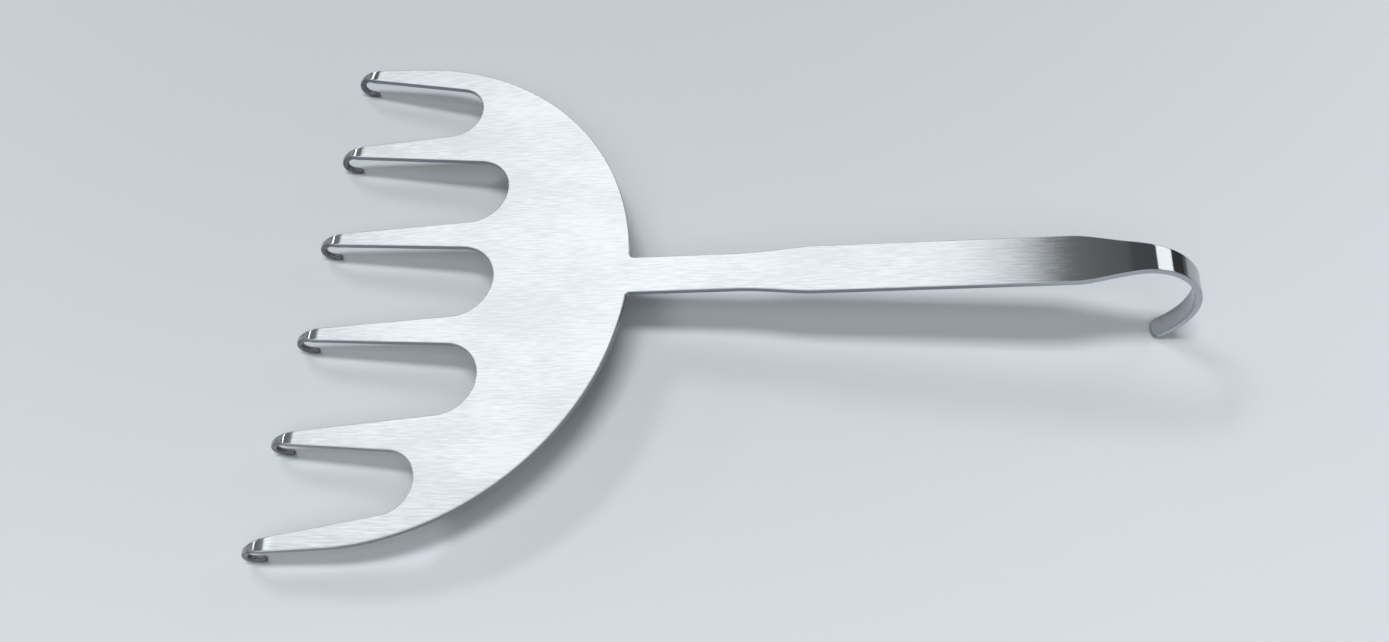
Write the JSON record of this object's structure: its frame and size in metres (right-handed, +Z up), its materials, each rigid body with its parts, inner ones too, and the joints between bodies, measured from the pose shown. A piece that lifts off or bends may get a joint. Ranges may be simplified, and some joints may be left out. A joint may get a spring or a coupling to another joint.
{
  "type": "handheld surgical retractor",
  "caption": "Flat hand rake of brushed steel: a half-round head with prongs rolled under into blunt claws, a slim handle and a finger hook at its end.",
  "frame": {"origin": "centre of the bounding box at its base, on the surface the part rests on", "axes": "+X from the claws towards the finger hook, +Y across the head, +Z up from the surface it rests on"},
  "size_m": [0.2056, 0.1316, 0.0317],
  "materials": {
    "steel": "fine satin brushing along the handle, brighter on the claws"
  },
  "bodies": {
    "root": {"retractor_body": "steel"}
  },
  "joints": []
}
